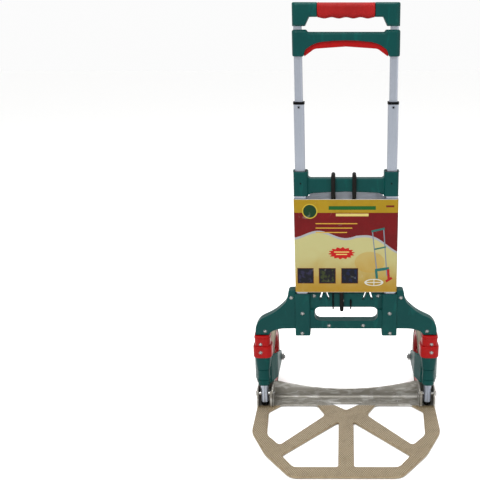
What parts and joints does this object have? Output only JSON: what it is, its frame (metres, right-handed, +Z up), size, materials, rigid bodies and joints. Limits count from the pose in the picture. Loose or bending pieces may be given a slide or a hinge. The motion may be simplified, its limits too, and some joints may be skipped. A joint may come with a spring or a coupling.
{
  "type": "folding hand truck",
  "caption": "Foldaway hand truck with a fold-up toe plate, wheels that swing in between the legs, a telescopic tube handle with a release bar, a card sleeve and an elastic cord.",
  "frame": {"origin": "on the floor, under the middle of the standing truck's outline", "axes": "+X across the truck to its right as seen from the front, +Y back towards the wheels, +Z up along the tubes"},
  "size_m": [0.3998, 0.426, 0.8273],
  "materials": {
    "green_plastic": "moulded, satin",
    "red_plastic": "moulded, half gloss",
    "red_rubber": "soft grip, dull",
    "black_plastic": "moulded, satin",
    "drawn_aluminium": "drawn tube, satin",
    "tread_aluminium": "pressed tread sheet, warm grey",
    "zinc_steel": "zinc plated, bright",
    "printed_card": "printed card with a satin film",
    "grey_rubber": "grey-tan rubber, dull",
    "black_rubber": "dull",
    "black_cord": "woven cover over an elastic core"
  },
  "bodies": {
    "frame": {"outer_tube_left": "drawn_aluminium", "outer_tube_right": "drawn_aluminium", "outer_bush_left": "black_plastic", "outer_bush_right": "black_plastic", "leg_tube_left": "drawn_aluminium", "leg_tube_right": "drawn_aluminium", "leg_end_cap_left": "black_plastic", "leg_end_cap_right": "black_plastic", "leg_collar_left": "red_plastic", "leg_collar_right": "red_plastic", "tube_rivet_front_left": "zinc_steel", "tube_rivet_front_right": "zinc_steel", "tube_rivet_back_left": "zinc_steel", "tube_rivet_back_right": "zinc_steel", "collar_rivet_left": "zinc_steel", "collar_rivet_right": "zinc_steel", "bungee_hook_left": "zinc_steel", "bungee_hook_right": "zinc_steel", "lower_frame_front": "green_plastic", "lower_frame_back": "green_plastic", "middle_bracket": "green_plastic", "card_sleeve": "printed_card", "bungee_cord": "black_cord"},
    "mid_stage": {"mid_tube_left": "drawn_aluminium", "mid_tube_right": "drawn_aluminium", "mid_bush_left": "black_plastic", "mid_bush_right": "black_plastic"},
    "inner_stage": {"inner_tube_left": "drawn_aluminium", "inner_tube_right": "drawn_aluminium", "lock_block_left": "black_plastic", "lock_block_right": "black_plastic", "handle_front": "green_plastic", "handle_back": "green_plastic", "handle_grip": "red_rubber", "release_bar_front": "green_plastic", "release_bar_back": "green_plastic"},
    "release": {"pull_rod_left": "zinc_steel", "pull_rod_right": "zinc_steel", "release_trigger": "red_plastic"},
    "lock_pins": {"lock_pin_left": "zinc_steel", "lock_pin_right": "zinc_steel"},
    "toe": {"toe_ear_left": "tread_aluminium", "toe_ear_right": "tread_aluminium", "pivot_pin_left": "zinc_steel", "pivot_pin_right": "zinc_steel", "toe_foot_side_left": "black_rubber", "toe_foot_side_right": "black_rubber", "toe_foot_front_left": "black_rubber", "toe_foot_front_right": "black_rubber", "toe_plate": "tread_aluminium"},
    "fork_left": {"wheel_fork_left": "green_plastic", "axle_bolt_left": "zinc_steel", "axle_nut_left": "zinc_steel"},
    "wheel_left": {"wheel_hub_left": "red_plastic", "wheel_tyre_left": "grey_rubber"},
    "fork_right": {"wheel_fork_right": "green_plastic", "axle_bolt_right": "zinc_steel", "axle_nut_right": "zinc_steel"},
    "wheel_right": {"wheel_hub_right": "red_plastic", "wheel_tyre_right": "grey_rubber"}
  },
  "joints": [
    {"name": "mid_stage_slide", "type": "slide", "parent": "frame", "child": "mid_stage", "axis": [0, 0, 1], "range_m": [-0.126, 0.085]},
    {"name": "inner_stage_slide", "type": "slide", "parent": "mid_stage", "child": "inner_stage", "axis": [0, 0, 1], "range_m": [-0.082, 0.087]},
    {"name": "release_trigger", "type": "slide", "parent": "inner_stage", "child": "release", "axis": [0, 0, 1], "range_m": [0, 0.008], "stiffness_N_per_m": 400, "springref_m": -0.01},
    {"name": "lock_pins_slide", "type": "slide", "parent": "inner_stage", "child": "lock_pins", "axis": [0, -1, 0], "range_m": [0, 0.0025]},
    {"name": "toe_fold", "type": "hinge", "parent": "frame", "child": "toe", "pos_m": [0, 0.04, 0.0335], "axis": [-1, 0, 0], "range_deg": [0, 90]},
    {"name": "wheel_fold_left", "type": "hinge", "parent": "frame", "child": "fork_left", "pos_m": [-0.174, 0.04, 0.067], "axis": [0, 0, -1], "range_deg": [0, 90]},
    {"name": "wheel_fold_right", "type": "hinge", "parent": "frame", "child": "fork_right", "pos_m": [0.174, 0.04, 0.067], "axis": [0, 0, 1], "range_deg": [0, 90]},
    {"name": "wheel_spin_left", "type": "hinge", "parent": "fork_left", "child": "wheel_left", "pos_m": [-0.174, 0.146, 0.067], "axis": [1, 0, 0], "continuous": true},
    {"name": "wheel_spin_right", "type": "hinge", "parent": "fork_right", "child": "wheel_right", "pos_m": [0.174, 0.146, 0.067], "axis": [1, 0, 0], "continuous": true}
  ],
  "couplings": [
    {"joint": "lock_pins_slide", "follows": "release_trigger", "ratio": 0.3125},
    {"joint": "wheel_fold_left", "follows": "toe_fold", "ratio": 1},
    {"joint": "wheel_fold_right", "follows": "toe_fold", "ratio": 1}
  ]
}
